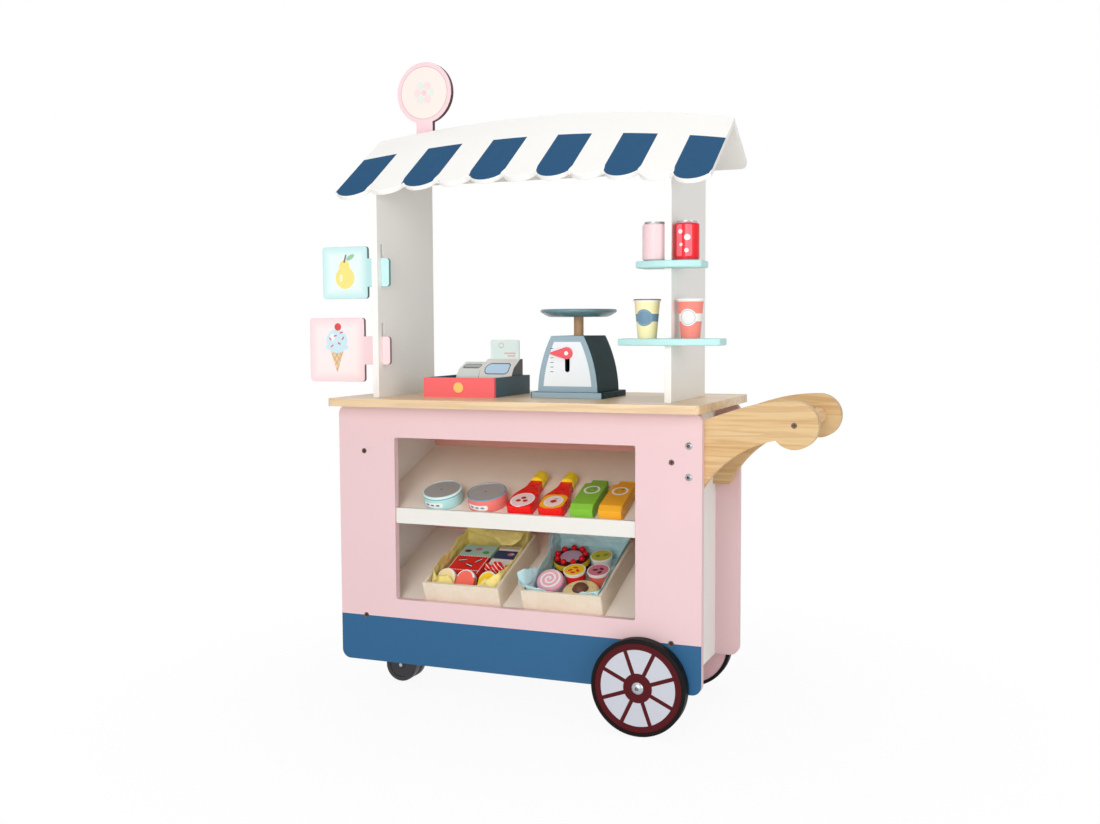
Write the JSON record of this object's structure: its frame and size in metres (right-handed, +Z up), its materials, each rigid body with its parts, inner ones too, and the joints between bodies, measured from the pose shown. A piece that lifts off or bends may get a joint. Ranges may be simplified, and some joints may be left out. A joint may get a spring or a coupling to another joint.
{
  "type": "toy market stall",
  "caption": "Toy market stall on wheels: cabinet with display window, striped awning on posts, side shelves, push handle, sprung scale, till, hooked menu signs and wooden goods.",
  "frame": {"origin": "on the floor, below the middle of the whole stall's box", "axes": "+Z up, -Y to the front with the window, +X to the handle"},
  "size_m": [0.8075, 0.3, 1.014],
  "materials": {
    "pink_paint": "satin pink lacquer on board, with a blue lower band",
    "white_paint": "satin white lacquer on board",
    "pine": "clear-lacquered pine",
    "mint_paint": "satin mint lacquer on board",
    "awning_paint": "satin blue and white stripes on board",
    "red_paint": "satin red lacquer",
    "slate_paint": "satin slate-blue lacquer",
    "grey_paint": "satin light-grey lacquer",
    "wheel_paint": "white disc with brown painted spokes, rim and hub",
    "yellow_paint": "satin yellow lacquer",
    "coral_paint": "satin coral lacquer",
    "green_paint": "satin green lacquer",
    "orange_paint": "satin orange lacquer",
    "bottle_paint": "glossy red lacquer with a yellow cap",
    "goods_paint": "lacquered toy food in several colours",
    "pale_wood": "pale plywood",
    "card": "printed board",
    "tissue": "thin coloured tissue paper",
    "tyre": "matt black rubber",
    "black_plastic": "moulded black plastic",
    "steel": "bright zinc plating",
    "black_screw": "blackened steel"
  },
  "bodies": {
    "cabinet": {"front_panel": "pink_paint", "rear_panel": "pink_paint", "left_side_panel": "white_paint", "right_side_panel": "white_paint", "base_board": "white_paint", "display_floor": "white_paint", "display_shelf": "white_paint", "shelf_lip": "white_paint", "countertop": "pine", "left_post": "white_paint", "right_post": "white_paint", "upper_side_shelf": "mint_paint", "lower_side_shelf": "mint_paint", "awning_front": "awning_paint", "awning_rear": "white_paint", "roundel_sign": "pink_paint", "handle_arm_front": "pine", "handle_arm_rear": "pine", "grip_bar": "pine", "axle_beam": "pine", "wood_screws": "black_screw", "cabinet_bolts": "steel", "axle_bolts": "steel", "axle_washers": "steel", "caster_plate": "black_plastic"},
    "front_wheel": {"front_wheel": "wheel_paint", "front_tyre": "tyre"},
    "rear_wheel": {"rear_wheel": "wheel_paint", "rear_tyre": "tyre"},
    "caster": {"caster_hood": "black_plastic", "caster_axle": "steel"},
    "caster_wheel_left": {"caster_wheel_left": "black_plastic"},
    "caster_wheel_right": {"caster_wheel_right": "black_plastic"},
    "upper_sign": {"menu_sign_upper": "mint_paint"},
    "lower_sign": {"menu_sign_lower": "pink_paint"},
    "scale": {"scale_base": "slate_paint", "scale_housing": "slate_paint", "scale_spring": "steel"},
    "scale_pan": {"scale_pan": "slate_paint", "scale_stem": "pine", "scale_pointer": "red_paint"},
    "cash_tray": {"cash_tray": "red_paint"},
    "till": {"till_block": "grey_paint"},
    "card": {"payment_card": "card"},
    "pink_can": {"pink_can": "pink_paint"},
    "red_can": {"red_can": "red_paint"},
    "yellow_cup": {"yellow_cup": "yellow_paint"},
    "coral_cup": {"coral_cup": "coral_paint"},
    "mint_tin": {"mint_tin": "mint_paint"},
    "coral_tin": {"coral_tin": "coral_paint"},
    "left_bottle": {"left_bottle": "bottle_paint"},
    "right_bottle": {"right_bottle": "bottle_paint"},
    "green_carton": {"green_carton": "green_paint"},
    "orange_carton": {"orange_carton": "orange_paint"},
    "left_crate": {"left_crate": "pale_wood", "left_crate_liner": "tissue", "left_crate_goods": "goods_paint"},
    "right_crate": {"right_crate": "pale_wood", "right_crate_liner": "tissue", "right_crate_goods": "goods_paint"}
  },
  "joints": [
    {"name": "front_wheel_spin", "type": "hinge", "parent": "cabinet", "child": "front_wheel", "pos_m": [0.15975, -0.132, 0.07], "axis": [0, 1, 0], "continuous": true},
    {"name": "rear_wheel_spin", "type": "hinge", "parent": "cabinet", "child": "rear_wheel", "pos_m": [0.15975, 0.132, 0.07], "axis": [0, 1, 0], "continuous": true},
    {"name": "caster_swivel", "type": "hinge", "parent": "cabinet", "child": "caster", "pos_m": [-0.26125, 0, 0.062], "axis": [0, 0, 1], "continuous": true},
    {"name": "caster_left_roll", "type": "hinge", "parent": "caster", "child": "caster_wheel_left", "pos_m": [-0.28625, -0.012, 0.027], "axis": [0, 1, 0], "continuous": true},
    {"name": "caster_right_roll", "type": "hinge", "parent": "caster", "child": "caster_wheel_right", "pos_m": [-0.28625, 0.012, 0.027], "axis": [0, 1, 0], "continuous": true},
    {"name": "upper_sign_lift", "type": "slide", "parent": "cabinet", "child": "upper_sign", "axis": [0, 0, 1], "range_m": [0, 0.018]},
    {"name": "lower_sign_lift", "type": "slide", "parent": "cabinet", "child": "lower_sign", "axis": [0, 0, 1], "range_m": [0, 0.018]},
    {"name": "scale_lift", "type": "slide", "parent": "cabinet", "child": "scale", "axis": [0, 0, 1], "range_m": [0, 0.05]},
    {"name": "scale_press", "type": "slide", "parent": "scale", "child": "scale_pan", "axis": [0, 0, -1], "range_m": [0, 0.025], "stiffness_N_per_m": 250, "springref_m": -0.008, "deforming": ["scale_spring"]},
    {"name": "cash_tray_lift", "type": "slide", "parent": "cabinet", "child": "cash_tray", "axis": [0, 0, 1], "range_m": [0, 0.05]},
    {"name": "till_lift", "type": "slide", "parent": "cash_tray", "child": "till", "axis": [0, 0, 1], "range_m": [0, 0.05]},
    {"name": "card_pull", "type": "slide", "parent": "till", "child": "card", "axis": [0, 0, 1], "range_m": [0, 0.03]},
    {"name": "pink_can_lift", "type": "slide", "parent": "cabinet", "child": "pink_can", "axis": [0, 0, 1], "range_m": [0, 0.04]},
    {"name": "red_can_lift", "type": "slide", "parent": "cabinet", "child": "red_can", "axis": [0, 0, 1], "range_m": [0, 0.04]},
    {"name": "yellow_cup_lift", "type": "slide", "parent": "cabinet", "child": "yellow_cup", "axis": [0, 0, 1], "range_m": [0, 0.03]},
    {"name": "coral_cup_lift", "type": "slide", "parent": "cabinet", "child": "coral_cup", "axis": [0, 0, 1], "range_m": [0, 0.03]},
    {"name": "mint_tin_lift", "type": "slide", "parent": "cabinet", "child": "mint_tin", "axis": [0, -0.342, 0.9397], "range_m": [0, 0.03]},
    {"name": "coral_tin_lift", "type": "slide", "parent": "cabinet", "child": "coral_tin", "axis": [0, -0.342, 0.9397], "range_m": [0, 0.03]},
    {"name": "left_bottle_lift", "type": "slide", "parent": "cabinet", "child": "left_bottle", "axis": [0, -0.342, 0.9397], "range_m": [0, 0.03]},
    {"name": "right_bottle_lift", "type": "slide", "parent": "cabinet", "child": "right_bottle", "axis": [0, -0.342, 0.9397], "range_m": [0, 0.03]},
    {"name": "green_carton_lift", "type": "slide", "parent": "cabinet", "child": "green_carton", "axis": [0, -0.342, 0.9397], "range_m": [0, 0.03]},
    {"name": "orange_carton_lift", "type": "slide", "parent": "cabinet", "child": "orange_carton", "axis": [0, -0.342, 0.9397], "range_m": [0, 0.03]},
    {"name": "left_crate_lift", "type": "slide", "parent": "cabinet", "child": "left_crate", "axis": [0, -0.342, 0.9397], "range_m": [0, 0.03]},
    {"name": "right_crate_lift", "type": "slide", "parent": "cabinet", "child": "right_crate", "axis": [0, -0.342, 0.9397], "range_m": [0, 0.03]}
  ]
}
